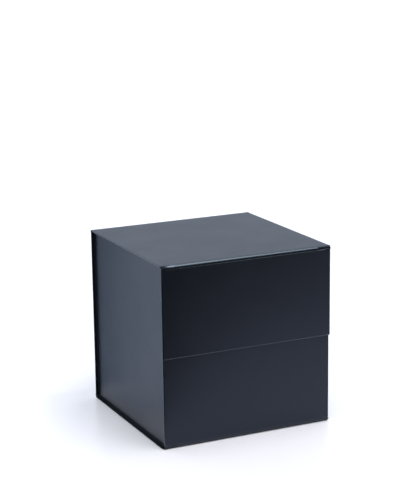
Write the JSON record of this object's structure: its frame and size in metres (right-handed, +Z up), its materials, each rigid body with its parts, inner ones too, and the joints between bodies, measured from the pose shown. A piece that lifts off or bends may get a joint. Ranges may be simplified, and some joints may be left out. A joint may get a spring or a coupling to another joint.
{
  "type": "magnetic gift box",
  "caption": "Cube-shaped folding rigid box in matte black paper, with a hinged lid and a magnetic front flap over the upper half of the front.",
  "frame": {"origin": "centre of the footprint, on the surface that the box stands on", "axes": "+Z up from the base to the lid, -Y towards the flap at the front, +X to the right seen from the front"},
  "size_m": [0.18, 0.1774, 0.1804],
  "materials": {
    "wrap_paper": "matte soft-touch laminated black wrapping paper",
    "lining_paper": "uncoated matte black lining paper",
    "greyboard": "raw recycled greyboard",
    "adhesive_tape": "clear double-sided tape",
    "magnet": "nickel-plated disc magnet"
  },
  "bodies": {
    "tray": {"spine_board": "greyboard", "spine_cover": "wrap_paper", "spine_lining": "lining_paper", "base_board": "greyboard", "base_cover": "wrap_paper", "base_lining": "lining_paper", "front_board": "greyboard", "front_cover": "wrap_paper", "front_lining": "lining_paper", "left_wall_board": "greyboard", "left_wall_cover": "wrap_paper", "left_wall_lining": "lining_paper", "right_wall_board": "greyboard", "right_wall_cover": "wrap_paper", "right_wall_lining": "lining_paper", "lid_crease": "wrap_paper", "rear_base_crease": "wrap_paper", "front_base_crease": "wrap_paper", "front_left_tab": "lining_paper", "front_left_tape": "adhesive_tape", "front_right_tab": "lining_paper", "front_right_tape": "adhesive_tape", "rear_left_tab": "lining_paper", "rear_left_tape": "adhesive_tape", "rear_right_tab": "lining_paper", "rear_right_tape": "adhesive_tape", "left_bottom_tab": "lining_paper", "right_bottom_tab": "lining_paper", "front_magnet_left": "magnet", "front_magnet_right": "magnet"},
    "lid": {"lid_board": "greyboard", "lid_cover": "wrap_paper", "lid_lining": "lining_paper", "flap_crease": "wrap_paper"},
    "flap": {"flap_board": "greyboard", "flap_cover": "wrap_paper", "flap_lining": "lining_paper", "flap_magnet_left": "magnet", "flap_magnet_right": "magnet"}
  },
  "joints": [
    {"name": "lid_hinge", "type": "hinge", "parent": "tray", "child": "lid", "pos_m": [0, 0.08815, 0.1798], "axis": [-1, 0, 0], "range_deg": [0, 175]},
    {"name": "flap_hinge", "type": "hinge", "parent": "lid", "child": "flap", "pos_m": [0, -0.08735, 0.179], "axis": [-1, 0, 0], "range_deg": [0, 175]}
  ]
}
